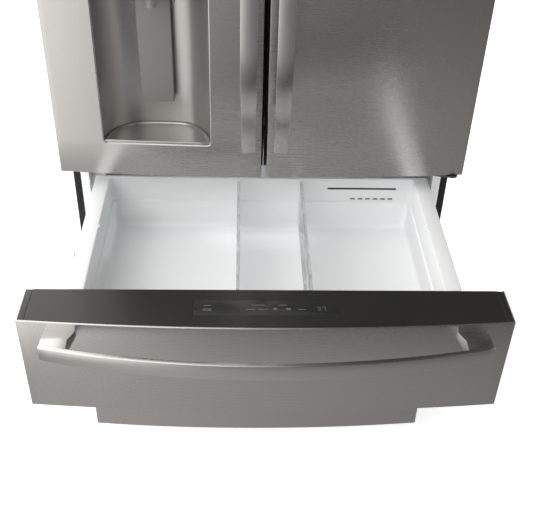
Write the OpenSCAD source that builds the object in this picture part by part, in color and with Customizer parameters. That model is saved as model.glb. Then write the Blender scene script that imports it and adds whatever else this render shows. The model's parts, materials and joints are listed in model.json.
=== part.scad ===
/* [Case] */
// Width of the painted case
case_w = 902; // [896:2:904]
// Depth of the case, without its fronts
case_d = 749; // [745:1:770]
// Height of the case top above the floor
case_h = 1740; // [1730:5:1770]
// Thickness of the foamed side walls
wall_t = 37; // [35:1:39]

/* [Fronts] */
// Width across the door pair and across each drawer front
front_w = 908; // [906:2:912]
// Thickness of a front at its outer edges
front_t = 90; // [86:1:94]
// How far the middle of a front stands ahead of its edges
front_bow = 20; // [14:1:24]
// Space that the soft seal fills behind each front
seal_t = 12; // [12:0.5:13]
// Gap between the two doors
door_gap = 12; // [10:1:14]
// Height of the door bottoms above the floor
door_z = 905; // [903:1:907]
// Height of the middle drawer front
drawer_h = 217; // [215:1:219]
// Gap between one front and the next
front_gap = 6; // [5:0.5:7]
// Height of the freezer front's bottom above the floor
freezer_z = 68; // [66:1:70]
// Thickness of the steel skins
skin_t = 2; // [1.5:0.5:2]

/* [Middle drawer] */
// How far the middle drawer stands open at rest
drawer_open = 497; // [440:1:497]
// Width of the pan over its side ledges
pan_w = 780; // [770:2:784]
// Width of each side ledge
ledge_w = 34; // [30:1:36]
// Length of the pan, front to back
pan_l = 446; // [420:2:450]
// Place of the left divider
divider_left_x = -57; // [-90:1:-40]
// Place of the right divider
divider_right_x = 89; // [60:1:110]

/* [Handles] */
// Length of a drawer handle
handle_l = 808; // [760:8:824]
// Length of a door handle
door_handle_l = 657; // [600:1:660]
// Depth of a strap at its middle, across its face
strap_w = 34; // [32:1:36]
// Thickness of a strap
strap_t = 9; // [8:1:10]
// How far a strap stands off at its ends
strap_reach = 63; // [58:1:66]
// How far a strap bows out at its middle
strap_bow = 45; // [35:1:48]

/* [Dispenser] */
// Middle of the dispenser recess, across the door
recess_x = -234; // [-240:1:-230]
// Radius of the curved recess wall
recess_r = 119; // [112:1:120]
// Height of the recess floor above the door bottom
recess_floor = 80; // [78:1:90]
// Height of the recess
recess_h = 350; // [340:1:352]

/* [Hidden] */
$fn = 96;
front_y = -(seal_t + front_t);
nose_y = front_y - front_bow;
bow_r = (pow(front_w / 2, 2) + pow(front_bow, 2)) / (2 * front_bow);
half = front_w / 2;
door_top = case_h - 2;
drawer_top = door_z - front_gap;
drawer_z = drawer_top - drawer_h;
freezer_top = drawer_z - front_gap;
sheet_t = 2;
case_half = case_w / 2;
inner_half = case_half - wall_t;
window_half = case_half - 17;
base_z = 60;
back_y = case_d - 4;
// Windows in the case front, as lowest and highest edge
fresh_win = [door_z + 20, case_h - 36];
drawer_win = [door_z - 196, door_z - 40];
freezer_win = [105, door_z - 250];
fresh_d = 690;
drawer_d = 640;
freezer_d = 640;
// Undersides of the glass shelves, and of the glass over the crispers
shelf_z = [1150, 1320, 1500];
crisper_glass_z = 1118;
machine_y = 480;
machine_top = 322;
step_z = 330;
step_d = 470;
hinge_x = half - 22;
hinge_y = front_y + 22;
hinge_nose = 17;
foot_l = 55;
bin_z = [1135, 1300, 1465, 1600];
bin_depth = 98;
inlet_y = case_d + 12;
strap_r = (pow(handle_l / 2, 2) + pow(strap_bow, 2)) / (2 * strap_bow);
handle_front = front_y - strap_reach - strap_bow;
frame_y = -(handle_front - drawer_open + inlet_y) / 2;
pan_top = door_z - 48;
pan_floor = pan_top - 135;
pan_wall = 4;
pan_half = pan_w / 2 - ledge_w;
pan_y = 11;
divider_t = 3;
dash_pitch = 18;
// Rollers, service connections and fans
roller_r = 22;
roller_y = 690;
roller_x = 410;
gland_x = 360;
inlet_x = -355;
service_z = 140;
fan_x = 70;
fan_y = 610;
fan_z = 165;
cover_y = 552;
cold_fan_z = 598;
// Doors, dispenser and centre mullion
left_x = [-half, -door_gap / 2];
right_x = [door_gap / 2, half];
recess_y = nose_y - 2;
recess_back = -19;
recess_z = door_z + recess_floor;
recess_top = recess_z + recess_h;
paddle_half = 36.5;
paddle_y = recess_back - 18;
paddle_z = recess_top - 52;
display_z = recess_top + 16;
display_h = 96;
door_plinth_z = [door_z + 55, case_h - 52];
mullion_x = -56;
mullion_lugs = [door_z + 62, case_h - 72];
steel = [0.63, 0.62, 0.61];
charcoal = [0.16, 0.16, 0.17];
white = [0.93, 0.94, 0.95];
clear = [0.85, 0.9, 0.93, 0.45];
black = [0.07, 0.07, 0.08];
zinc = [0.7, 0.71, 0.72];
copper = [0.72, 0.45, 0.3];

// ---- shared shapes ----

// Moves a piece from the case's own frame, with y = 0 at its front flange, to the part's frame
module placed() translate([0, frame_y, 0]) children();

// A piece of the middle drawer, drawn closed and shown open
module drawn_out() placed() translate([0, -drawer_open, 0]) children();

module both_sides() {
    children();
    mirror([1, 0, 0]) children();
}

// Box from its lowest corner to its highest corner
module block(a, b) translate(a) cube(b - a);

// Tube along X, Y or Z
module rod(a, length, r, axis = "z") {
    turn = axis == "x" ? [0, 90, 0] : axis == "y" ? [-90, 0, 0] : [0, 0, 0];
    translate(a) rotate(turn) cylinder(r = r, h = length);
}

// Open tray of even wall thickness
module tray(a, b, wall) difference() {
    block(a, b);
    block(a + [wall, wall, wall], b + [-wall, -wall, 1]);
}

// Rectangle with round corners, drawn upright in the X-Z plane and extruded along +Y
module round_plate(a, b, depth, r) {
    translate([a[0], a[1] + depth, a[2]]) rotate([90, 0, 0]) linear_extrude(depth) {
        w = b[0] - a[0];
        h = b[2] - a[2];
        translate([r, 0]) square([w - 2 * r, h]);
        translate([0, r]) square([w, h - 2 * r]);
        for (x = [r, w - r], z = [r, h - r]) translate([x, z]) circle(r);
    }
}

// Everything behind the bowed front surface, moved in by inset
module bow_body(inset = 0) {
    translate([0, nose_y + bow_r, -1]) cylinder(r = bow_r - inset, h = case_h + 40, $fn = 256);
}

// Front slab between two sides and two heights
module front_slab(x0, x1, z0, z1, rear = -seal_t, inset = 0) intersection() {
    block([x0, nose_y - 1, z0], [x1, rear, z1]);
    bow_body(inset);
}

// Steel skin: the bowed face and the two side returns
module skin(x0, x1, z0, z1) difference() {
    front_slab(x0, x1, z0, z1);
    front_slab(x0 + skin_t, x1 - skin_t, z0 - 1, z1 + 1, -seal_t + 1, skin_t);
}

// Inner moulding of a front: rear sheet, end caps and the plinth that enters the opening
module inner_moulding(x0, x1, z0, z1, plinth_a, plinth_b, top_cap = true) {
    block([x0 + skin_t, -seal_t - 2, z0], [x1 - skin_t, -seal_t, z1]);
    front_slab(x0 + skin_t, x1 - skin_t, z0, z0 + 6, -seal_t - 1, skin_t);
    if (top_cap) front_slab(x0 + skin_t, x1 - skin_t, z1 - 6, z1, -seal_t - 1, skin_t);
    difference() {
        block([plinth_a[0], -seal_t - 1, plinth_a[1]], [plinth_b[0], plinth_b[2], plinth_b[1]]);
        block([plinth_a[0] + 14, -seal_t, plinth_a[1] + 14],
              [plinth_b[0] - 14, plinth_b[2] + 1, plinth_b[1] - 14]);
    }
}

// Soft seal: a frame of even width
module seal_ring(x0, x1, z0, z1) difference() {
    block([x0, -seal_t, z0], [x1, -0.6, z1]);
    block([x0 + 14, -seal_t - 1, z0 + 12], [x1 - 14, 0, z1 - 12]);
}

// Strap handle along X with its straight edge on top, standing ahead of a front at y = 0
module strap_handle(length, reach, bow) {
    r = (pow(length / 2, 2) + pow(bow, 2)) / (2 * bow);
    end_w = strap_w - 4;
    edge_r = (pow(length / 2, 2) + 16) / 8;
    steps = 16;
    difference() {
        intersection() {
            translate([0, -reach - bow + r, -strap_w - 1]) cylinder(r = r, h = strap_w + 2, $fn = 256);
            rotate([90, 0, 0]) linear_extrude(reach + bow + 1) polygon(concat(
                [[length / 2, 0], [-length / 2, 0]],
                [for (i = [0:steps]) let (x = length * (i / steps - 0.5))
                    [x, -strap_w + edge_r - sqrt(pow(edge_r, 2) - pow(x, 2))]]
            ));
        }
        translate([0, -reach - bow + r, -strap_w - 2]) cylinder(r = r - strap_t, h = strap_w + 4, $fn = 256);
    }
    for (side = [-1, 1]) {
        x0 = side < 0 ? -length / 2 : length / 2 - foot_l;
        translate([x0, 0, 0]) rotate([90, 0, 90]) linear_extrude(foot_l) polygon([
            [6, -3], [-reach + 1, 0], [-reach - 1, -1], [-reach - 1, -end_w + 2], [6, -end_w + 6]
        ]);
    }
}

// Five-sided liner with its flange in a window of the case
module liner(win, depth) difference() {
    union() {
        block([-window_half, 0, win[0]], [window_half, sheet_t, win[1]]);
        block([-inner_half - 2, 0, win[0] + 1], [inner_half + 2, depth, win[1] - 1]);
    }
    block([-inner_half, -1, win[0] + 3], [inner_half, depth - 2, win[1] - 3]);
}

// Door bin: a tray with a higher back, hung on the door's inner moulding
module door_bin(x0, x1, z, height, depth) difference() {
    block([x0, -seal_t + 1, z], [x1, depth, z + height]);
    block([x0 + 3, -seal_t + 4, z + 3], [x1 - 3, depth - 3, z + height + 1]);
}

// ---- case ----

module cabinet_shell() color(charcoal) placed() difference() {
    block([-case_half, 0, base_z], [case_half, case_d, case_h]);
    block([-case_half + sheet_t, sheet_t, base_z - 1], [case_half - sheet_t, case_d + 1, case_h - sheet_t]);
    for (win = [fresh_win, drawer_win, freezer_win])
        block([-window_half, -1, win[0]], [window_half, sheet_t + 1, win[1]]);
}

module back_panel() color([0.75, 0.76, 0.77]) placed() {
    block([-case_half + sheet_t, back_y, machine_top], [case_half - sheet_t, back_y + 2, case_h - sheet_t]);
    for (x = [-300, 0, 300])
        block([x - 60, back_y + 2, machine_top + 60], [x + 60, back_y + 3, case_h - 90]);
}

module foam_insulation() color([0.9, 0.85, 0.6]) placed() difference() {
    block([-case_half + sheet_t, sheet_t, base_z + 4], [case_half - sheet_t, back_y, case_h - sheet_t]);
    block([-inner_half - 2, 1, fresh_win[0] + 1], [inner_half + 2, fresh_d, fresh_win[1] - 1]);
    block([-inner_half - 2, 1, drawer_win[0] + 1], [inner_half + 2, drawer_d, drawer_win[1] - 1]);
    block([-inner_half - 2, 1, freezer_win[0] + 1], [inner_half + 2, step_d, freezer_win[1] - 1]);
    block([-inner_half - 2, 1, step_z], [inner_half + 2, freezer_d, freezer_win[1] - 1]);
    block([-case_half, machine_y, base_z], [case_half, case_d, machine_top]);
}

module fresh_food_liner() color(white) placed() {
    liner(fresh_win, fresh_d);
    both_sides() for (z = shelf_z)
        block([inner_half - 8, 152.4, z - 6], [inner_half + 1, 639.6, z]);
    both_sides() block([inner_half - 8, 134.4, crisper_glass_z - 6], [inner_half + 1, 640, crisper_glass_z]);
    both_sides() for (x = [28, 372])
        block([x, 140, fresh_win[0] + 2], [x + 10, 640, fresh_win[0] + 9]);
}

module drawer_liner() color(white) placed() liner(drawer_win, drawer_d);

module freezer_liner() color(white) placed() {
    difference() {
        union() {
            block([-window_half, 0, freezer_win[0]], [window_half, sheet_t, freezer_win[1]]);
            block([-inner_half - 2, 0, freezer_win[0] + 1], [inner_half + 2, step_d, freezer_win[1] - 1]);
            block([-inner_half - 2, 0, step_z], [inner_half + 2, freezer_d, freezer_win[1] - 1]);
        }
        block([-inner_half, -1, freezer_win[0] + 3], [inner_half, step_d - 2, freezer_win[1] - 3]);
        block([-inner_half, -1, step_z + 2], [inner_half, freezer_d - 2, freezer_win[1] - 3]);
    }
}

module base_frame() color(zinc) placed() {
    difference() {
        block([-case_half + sheet_t, sheet_t, base_z - 4], [case_half - sheet_t, back_y, base_z]);
        for (x = [-120, 120]) block([x - 60, 520, base_z - 5], [x + 60, 700, base_z + 1]);
    }
    both_sides() block([case_half - 22, 30, 34], [case_half - 8, back_y - 30, base_z - 3]);
    block([-case_half + 8, sheet_t, 36], [case_half - 8, 14, base_z - 3]);
    both_sides() difference() {
        for (x = [roller_x - 17, roller_x + 13])
            block([x, roller_y - 18, 12], [x + 4, roller_y + 18, base_z - 3]);
        rod([roller_x - 20, roller_y, roller_r], 40, 4.05, "x");
    }
}

module base_grille() color(black) placed() {
    difference() {
        block([-440, -52, 12], [440, -46, base_z]);
        for (i = [-3:3], z = [22, 32, 42]) block([i * 118 - 48, -53, z], [i * 118 + 48, -45, z + 5]);
    }
    both_sides() block([425, -47, 38], [440, sheet_t, base_z - 6]);
}

module levelling_legs() color(black) placed() both_sides() {
    translate([390, 60, 0]) rotate_extrude() polygon([
        [0, 0], [22, 0], [24, 3], [22, 8], [12, 12], [9, 14], [9, base_z - 4], [0, base_z - 4]
    ]);
}

module machine_cover() color(charcoal) placed() difference() {
    union() {
        block([-case_half + sheet_t, back_y, base_z], [case_half - sheet_t, back_y + 2, machine_top]);
        rod([gland_x, back_y, service_z], 12, 12, "y");
        block([-80, back_y + 2, machine_top - 30], [80, back_y + 3, machine_top - 10]);
    }
    rod([gland_x, back_y - 1, service_z], 20, 4, "y");
    rod([inlet_x, back_y - 1, service_z], 20, 14, "y");
    for (side = [-1, 1], i = [0:9])
        block([side * 150 - 70, back_y - 1, 90 + i * 18], [side * 150 + 70, back_y + 3, 96 + i * 18]);
}

module compressor() color(black) placed() {
    block([160, 530, base_z], [380, 690, base_z + 5]);
    for (x = [180, 360], y = [550, 670]) rod([x, y, base_z + 5], 14, 12);
    block([165, 535, base_z + 19], [375, 685, base_z + 23]);
    translate([270, 610, base_z + 23]) {
        cylinder(r = 74, h = 18);
        translate([0, 0, 18]) cylinder(r = 80, h = 62);
        translate([0, 0, 80]) sphere(r = 78);
    }
    block([340, 580, base_z + 50], [372, 640, base_z + 110]);
    rod([270, 610, base_z + 170], 60, 5);
    rod([195, 560, base_z + 90], 90, 4);
    rod([195, 560, base_z + 90], 50, 4, "y");
}

module condenser() color([0.2, 0.2, 0.21]) placed() {
    for (i = [0:15]) block([-170 + i * 12, 545, base_z + 2], [-168.5 + i * 12, 675, base_z + 182]);
    for (y = [570, 610, 650], i = [0:4]) rod([-180, y, base_z + 20 + i * 36], 200, 4, "x");
    block([-185, 540, base_z], [25, 680, base_z + 3]);
    difference() {
        block([40, 530, base_z], [44, 690, base_z + 190]);
        rod([39, fan_y, fan_z], 7, 70, "x");
    }
    difference() {
        union() {
            for (a = [0, 120, 240])
                translate([40, fan_y, fan_z]) rotate([a, 0, 0]) block([0, -4, 0], [4, 4, 74]);
            rod([40, fan_y, fan_z], 18, 20, "x");
        }
        rod([50, fan_y, fan_z], 20, 3.05, "x");
    }
}

module condenser_fan() color(black) placed() {
    rod([52, fan_y, fan_z], 12, 3, "x");
    rod([60, fan_y, fan_z], 22, 20, "x");
    for (i = [0:4]) translate([fan_x, fan_y, fan_z]) rotate([i * 72, 0, 0])
        rotate([0, 0, 35]) block([-1, -16, 15], [1, 16, 62]);
}

module water_valve() color([0.2, 0.35, 0.6]) placed() {
    block([inlet_x - 28, 690, service_z - 18], [inlet_x + 28, back_y - 4, service_z + 18]);
    rod([inlet_x - 14, 712, service_z + 18], 40, 13);
    rod([inlet_x + 14, 712, service_z + 18], 40, 13);
    rod([inlet_x, back_y - 5, service_z], inlet_y - back_y + 5, 5.56, "y");
    block([inlet_x - 20, 700, base_z], [inlet_x + 20, 704, service_z - 17]);
}

module evaporator() color(zinc) placed() {
    for (i = [0:20]) block([-300 + i * 30, 580, 350], [-298.8 + i * 30, 630, 520]);
    for (y = [592, 618], i = [0:4]) rod([-320, y, 366 + i * 34], 640, 4.5, "x");
    both_sides() for (i = [0:1]) block([316, 588, 360 + i * 68], [322, 622, 408 + i * 68]);
}

module evaporator_cover() color(white) placed() {
    difference() {
        block([-inner_half, cover_y, step_z + 2], [inner_half, cover_y + 4, freezer_win[1] - 3]);
        rod([0, cover_y - 1, cold_fan_z], 8, 46, "y");
        for (side = [-1, 1], i = [0:6])
            block([side * 230 - 90, cover_y - 1, 360 + i * 12],
                  [side * 230 + 90, cover_y + 5, 365 + i * 12]);
    }
    difference() {
        union() {
            block([-52, cover_y + 3, cold_fan_z - 4], [-44, cover_y + 44, cold_fan_z + 4]);
            block([44, cover_y + 3, cold_fan_z - 4], [52, cover_y + 44, cold_fan_z + 4]);
            block([-52, cover_y + 40, cold_fan_z - 4], [52, cover_y + 46, cold_fan_z + 4]);
            rod([0, cover_y + 34, cold_fan_z], 26, 16, "y");
        }
        rod([0, cover_y + 33, cold_fan_z], 20, 3.05, "y");
    }
}

module evaporator_fan() color([0.85, 0.86, 0.87]) placed() {
    rod([0, cover_y + 24, cold_fan_z], 22, 3, "y");
    rod([0, cover_y + 10, cold_fan_z], 20, 14, "y");
    for (i = [0:6]) translate([0, cover_y + 20, cold_fan_z]) rotate([0, i * 360 / 7, 0])
        rotate([0, 0, 40]) block([-11, -0.8, 10], [11, 0.8, 40]);
}

module air_tower() color(white) placed() difference() {
    block([-140, 652, 1130], [140, fresh_d - 2, 1680]);
    block([-136, 656, 1134], [136, fresh_d, 1676]);
    for (z = [1200, 1380, 1560], i = [0:3])
        block([-90, 651, z + i * 14], [90, 657, z + 5 + i * 14]);
}

module glass_shelves() color(clear) placed() {
    for (z = shelf_z) {
        block([-inner_half + 2, 152, z], [inner_half - 2, 640, z + 5]);
        block([-inner_half + 2, 146, z - 5], [inner_half - 2, 152, z + 9]);
        block([-inner_half + 2, 640, z - 5], [inner_half - 2, 645, z + 9]);
    }
    block([-inner_half + 2, 134, crisper_glass_z], [inner_half - 2, 640, crisper_glass_z + 5]);
    block([-inner_half + 2, 128, crisper_glass_z - 8], [inner_half - 2, 134, crisper_glass_z + 7]);
    block([-3, 134, fresh_win[0] + 3], [3, 640, crisper_glass_z]);
}

module water_filter() color(white) placed() {
    rod([330, 200, 1662], 180, 27, "y");
    rod([330, 184, 1662], 16, 22, "y");
    block([295, 375, 1630], [365, 440, fresh_win[1] - 3]);
}

// Plate from the case front to the hinge pin, with a round end ahead of the pin
module hinge_plate(nose) {
    linear_extrude(3.6) {
        translate([hinge_x, hinge_y - nose]) circle(r = 12);
        translate([hinge_x - 12, hinge_y - nose]) square([24, -hinge_y + nose]);
        if (nose > 0) polygon([[hinge_x - 42, hinge_y - 20], [hinge_x, hinge_y - nose - 12],
                               [hinge_x + 12, hinge_y - nose], [hinge_x + 12, -48], [hinge_x - 42, -48]]);
        polygon([[hinge_x - 60, 0], [case_half, 0], [case_half, -22], [hinge_x + 12, -50],
                 [hinge_x - 12, -50], [hinge_x - 60, -22]]);
    }
}

module door_hinges() color(black) placed() for (side = [-1, 1]) scale([side, 1, 1]) {
    nose = side > 0 ? hinge_nose : 0;
    difference() {
        translate([0, 0, door_z - 4.8]) hinge_plate(nose);
        if (side > 0) rod([hinge_x, hinge_y - nose, door_z - 6], 8, 3);
    }
    rod([hinge_x, hinge_y, door_z - 2], 12, 4);
    block([hinge_x - 60, -3, door_z - 24], [case_half, 0, door_z + 4]);
    translate([0, 0, case_h + 1.5]) linear_extrude(4) {
        translate([hinge_x, hinge_y]) circle(r = 12);
        translate([hinge_x - 12, hinge_y]) square([24, -hinge_y + 90]);
        polygon([[hinge_x - 70, 90], [hinge_x - 70, 8], [hinge_x - 12, -30], [hinge_x + 12, -30],
                 [hinge_x + 12, 90]]);
    }
    rod([hinge_x, hinge_y, door_top - 12], 17, 4);
    block([hinge_x - 60, 10, case_h], [hinge_x + 8, 80, case_h + 2]);
}

module hinge_covers() color(charcoal) placed() both_sides() difference() {
    block([hinge_x - 90, hinge_y - 16, case_h], [hinge_x + 17, 130, case_h + 34]);
    block([hinge_x - 87, hinge_y - 13, case_h - 1], [hinge_x + 14, 127, case_h + 31]);
}

// Fixed members of both telescopic slides, with the brackets that hold them to the liners
module case_rails() color(zinc) placed() both_sides() {
    block([376, 8, 795], [383, 610, 835]);
    for (y = [20, 300, 570]) block([383, y, 800], [inner_half, y + 30, 830]);
    block([392, 14, 345], [399, 545, 385]);
    for (y = [20, 280, 500]) block([399, y, 350], [inner_half, y + 30, 380]);
}

module rear_rollers() color(black) placed() both_sides() difference() {
    union() {
        rod([roller_x - 11, roller_y, roller_r], 22, roller_r, "x");
        rod([roller_x - 18, roller_y, roller_r], 36, 4, "x");
    }
    for (x = [roller_x - 12, roller_x + 8]) difference() {
        rod([x, roller_y, roller_r], 4, 16, "x");
        rod([x - 1, roller_y, roller_r], 6, 9, "x");
    }
}

module crisper(side) color(clear) placed() {
    x0 = side < 0 ? -402 : 8;
    difference() {
        union() {
            block([x0, 150, 934.6], [x0 + 394, 620, 1100]);
            block([x0 + 40, 138, 1068], [x0 + 354, 151, 1100]);
        }
        block([x0 + 4, 154, 938], [x0 + 390, 616, 1101]);
        block([x0 + 44, 141, 1067], [x0 + 350, 150.5, 1096]);
    }
}

module crisper_left() crisper(-1);

module crisper_right() crisper(1);

// ---- left door ----

module left_door_skin() color(steel) placed() difference() {
    skin(left_x[0], left_x[1], door_z, door_top);
    round_plate([recess_x - recess_r, nose_y - 2, recess_z], [recess_x + recess_r, 0, recess_top], 60, 10);
    round_plate([recess_x - recess_r, nose_y - 2, display_z],
                [recess_x + recess_r, 0, display_z + display_h], 60, 10);
}

module left_door_liner() color(white) placed() difference() {
    union() {
        inner_moulding(left_x[0], left_x[1], door_z, door_top,
                       [-406, door_plinth_z[0]], [-66, door_plinth_z[1], 18]);
        block([-362, -seal_t - 1, recess_z - 12], [-106, 4, recess_top + 6]);
        for (z = mullion_lugs) block([-67, 1, z], [mullion_x + 6, 13, z + 8]);
    }
    recess_plug(4, recess_z - 5, recess_top + 4);
    for (z = [door_z - 1, door_top - 7]) rod([-hinge_x, hinge_y, z], 10, 4.05);
    for (z = mullion_lugs) rod([mullion_x, 7, z - 1], 10, 4.05);
}

module left_door_seal() color(black) placed() {
    seal_ring(-433, -door_gap / 2 - 2, door_z + 6, case_h - 20);
    block([-door_gap / 2, -70, door_z], [-0.8, -62, door_top]);
}

// Door handle: the strap turned upright, with its straight edge beside the gap
module door_strap(side) difference() {
    translate([side * 19.5, front_y, 993 + door_handle_l / 2]) rotate([0, -90 * side, 0])
        strap_handle(door_handle_l, strap_reach, strap_bow * 0.7);
    bow_body();
}

module left_door_handle() color(steel) placed() door_strap(-1);

// The recess as a solid: a round well with a flat back, grown by the given amount
module recess_plug(grow, z0, z1) intersection() {
    rod([recess_x, recess_y, z0], z1 - z0, recess_r + grow);
    block([recess_x - recess_r - grow, front_y - 60, z0],
          [recess_x + recess_r + grow, recess_back + grow, z1]);
}

module dispenser_housing() color([0.55, 0.56, 0.57]) placed() {
    difference() {
        intersection() {
            recess_plug(3, recess_z - 3, recess_top + 3);
            bow_body(skin_t);
        }
        recess_plug(0, recess_z, recess_top);
    }
    intersection() {
        difference() {
            round_plate([recess_x - recess_r, nose_y - 2, recess_z],
                        [recess_x + recess_r, 0, recess_top], 60, 10);
            round_plate([recess_x - recess_r + 3, nose_y - 3, recess_z + 3],
                        [recess_x + recess_r - 3, 0, recess_top - 3], 62, 8);
            bow_body(6);
        }
        bow_body();
    }
    block([recess_x - 46, recess_y + 30, recess_top - 36], [recess_x + 46, recess_back + 1, recess_top + 1]);
    translate([recess_x, 0, 0]) both_sides() difference() {
        block([paddle_half + 4, paddle_y - 9, paddle_z - 9],
              [paddle_half + 9, paddle_y + 9, recess_top - 35]);
        rod([paddle_half, paddle_y, paddle_z], 12, 3.05, "x");
    }
    difference() {
        rod([recess_x, recess_y + 44, recess_top - 56], 24, 11);
        rod([recess_x, recess_y + 44, recess_top - 58], 30, 7);
    }
}

module dispenser_tray() color([0.5, 0.51, 0.52]) placed() intersection() {
    difference() {
        recess_plug(-0.4, recess_z, recess_z + 7);
        recess_plug(-6, recess_z + 3, recess_z + 8);
    }
    bow_body(6.3);
}

module dispenser_paddle() color([0.35, 0.36, 0.37]) placed() {
    rod([recess_x - paddle_half - 8.5, paddle_y, paddle_z], 2 * paddle_half + 17, 3, "x");
    block([recess_x - paddle_half, paddle_y - 4, recess_z + 65],
          [recess_x + paddle_half, paddle_y + 4, paddle_z + 6]);
}

module dispenser_display() color(black) placed() difference() {
    intersection() {
        round_plate([recess_x - recess_r, nose_y - 2, display_z],
                    [recess_x + recess_r, 0, display_z + display_h], 60, 10);
        bow_body();
    }
    bow_body(8);
}

module ice_compartment() color(white) placed() difference() {
    block([-390, 5, recess_top + 12], [-84, 108, door_plinth_z[1] - 18]);
    block([-386, 9, recess_top + 16], [-88, 104, door_plinth_z[1] - 22]);
    block([-370, 100, recess_top + 30], [-104, 110, door_plinth_z[1] - 40]);
}

module left_door_bins() color(clear) placed() {
    difference() {
        block([-388, 5, 1135], [-84, 96, 1225]);
        block([-385, 8, 1138], [-87, 93, 1226]);
    }
    difference() {
        block([-388, 5, 1245], [-84, 82, 1320]);
        block([-385, 8, 1248], [-87, 79, 1321]);
    }
}

module door_mullion() color(black) placed() {
    block([-60, 0.8, mullion_lugs[0] + 10], [-5, 13, mullion_lugs[1] - 2]);
    rod([mullion_x, 7, mullion_lugs[0]], 12, 4);
    rod([mullion_x, 7, mullion_lugs[1] - 4], 12, 4);
}

// ---- right door ----

module right_door_skin() color(steel) placed() skin(right_x[0], right_x[1], door_z, door_top);

module right_door_liner() color(white) placed() difference() {
    inner_moulding(right_x[0], right_x[1], door_z, door_top,
                   [66, door_plinth_z[0]], [406, door_plinth_z[1], 18]);
    for (z = [door_z - 1, door_top - 7]) rod([hinge_x, hinge_y, z], 10, 4.05);
}

module right_door_seal() color(black) placed() {
    seal_ring(door_gap / 2 + 2, 433, door_z + 6, case_h - 20);
    block([0.8, -70, door_z], [door_gap / 2, -62, door_top]);
}

module right_door_handle() color(steel) placed() door_strap(1);

module right_door_bins() color(clear) placed() {
    for (i = [0:2]) door_bin(82, 390, bin_z[i], 95, bin_depth);
    door_bin(82, 390, bin_z[3], 65, bin_depth - 18);
}

// ---- middle drawer ----

module drawer_skin() color(steel) drawn_out() skin(-half, half, drawer_z, drawer_top);

module drawer_top_panel() color(charcoal) drawn_out() difference() {
    union() {
        front_slab(-half + 15, half - 15, drawer_top - 6, drawer_top, -seal_t, skin_t);
        front_slab(-half + skin_t, half - skin_t, drawer_top - 6, drawer_top - 1, -seal_t, skin_t);
    }
    block([-137, front_y + 18, drawer_top - 0.8], [137, front_y + 61, drawer_top + 1]);
}

module drawer_inner_panel() color(white) drawn_out()
    inner_moulding(-half, half, drawer_z, drawer_top - 6,
                   [-400, drawer_win[0] + 12], [400, drawer_win[1] - 14, 10], false);

module drawer_seal() color([0.75, 0.76, 0.77]) drawn_out()
    seal_ring(-433, 433, drawer_win[0] - 14, drawer_win[1] + 14);

// Drawer handle, hung just below the top edge of its front
module drawer_strap(top) difference() {
    translate([0, front_y, top]) strap_handle(handle_l, strap_reach, strap_bow);
    bow_body();
}

module drawer_handle() color(steel) drawn_out() drawer_strap(drawer_top - 8);

module drawer_pan() color(white) drawn_out() difference() {
    union() {
        block([-pan_w / 2, pan_y, pan_top - 3], [pan_w / 2, pan_y + pan_l, pan_top]);
        block([-pan_half - pan_wall, pan_y, pan_floor], [pan_half + pan_wall, pan_y + pan_l, pan_top]);
    }
    block([-pan_half, pan_y + 12, pan_floor + pan_wall], [pan_half, pan_y + pan_l - 8, pan_top + 1]);
    block([155, pan_y + pan_l - 9, pan_top - 28], [318, pan_y + pan_l + 1, pan_top - 24.5]);
    for (i = [0:5]) translate([211 + i * dash_pitch, pan_y + pan_l - 9, pan_top - 56]) cube([11, 10, 4]);
}

module pan_divider(x) color(clear) drawn_out() {
    block([x, pan_y + 12.5, pan_floor + pan_wall + 0.5], [x + divider_t, pan_y + pan_l - 8.5, pan_top - 4]);
    block([x - 2, pan_y + 12.5, pan_top - 9], [x + divider_t + 2, pan_y + pan_l - 8.5, pan_top - 2]);
}

module divider_left() pan_divider(divider_left_x);

module divider_right() pan_divider(divider_right_x);

module drawer_rails_middle() color(zinc) placed() translate([0, -drawer_open / 2, 0])
    both_sides() block([368, 40, 799], [375.4, 600, 831]);

module drawer_rails_moving() color(zinc) drawn_out() both_sides() {
    block([pan_half + pan_wall, 11, 803], [367.4, 520, 827]);
    block([340, 8, 803], [367.4, 11, 827]);
}

// ---- freezer drawer ----

module freezer_skin() color(steel) placed() skin(-half, half, freezer_z, freezer_top);

module freezer_inner_panel() color(white) placed()
    inner_moulding(-half, half, freezer_z, freezer_top,
                   [-400, freezer_win[0] + 25], [400, freezer_win[1] - 16, 10]);

module freezer_seal() color([0.75, 0.76, 0.77]) placed()
    seal_ring(-433, 433, freezer_win[0] - 14, freezer_win[1] + 14);

module freezer_handle() color(steel) placed() drawer_strap(freezer_top - 8);

module freezer_bin() color(white) placed() difference() {
    union() {
        tray([-366, 12, 122], [366, 455, 330], 4);
        block([-374, 12, 326], [-362, 455, 330]);
        block([362, 12, 326], [374, 455, 330]);
    }
    for (i = [-6:6], z = [170, 215, 260])
        block([i * 50 - 17, 11, z], [i * 50 + 17, 17, z + 24]);
}

module freezer_upper_basket() color(white) placed() difference() {
    union() {
        tray([-362, 40, 400], [362, 450, 524], 4);
        block([-376, 40, 520.6], [-360, 450, 524]);
        block([360, 40, 520.6], [376, 450, 524]);
    }
    for (i = [-6:6], z = [430, 470])
        block([i * 50 - 18, 39, z], [i * 50 + 18, 45, z + 24]);
}

module freezer_rails_middle() color(zinc) placed()
    both_sides() block([384, 30, 349], [391.4, 540, 381]);

module freezer_rails_moving() color(zinc) placed() both_sides() {
    block([376, 11, 353], [383.4, 520, 377]);
    block([366.4, 11, 340], [376.4, 470, 352]);
    for (y = [60, 400]) block([370, y, 350], [376, y + 40, 520]);
    block([366.4, 10, 300], [376.4, 12, 352]);
}

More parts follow.
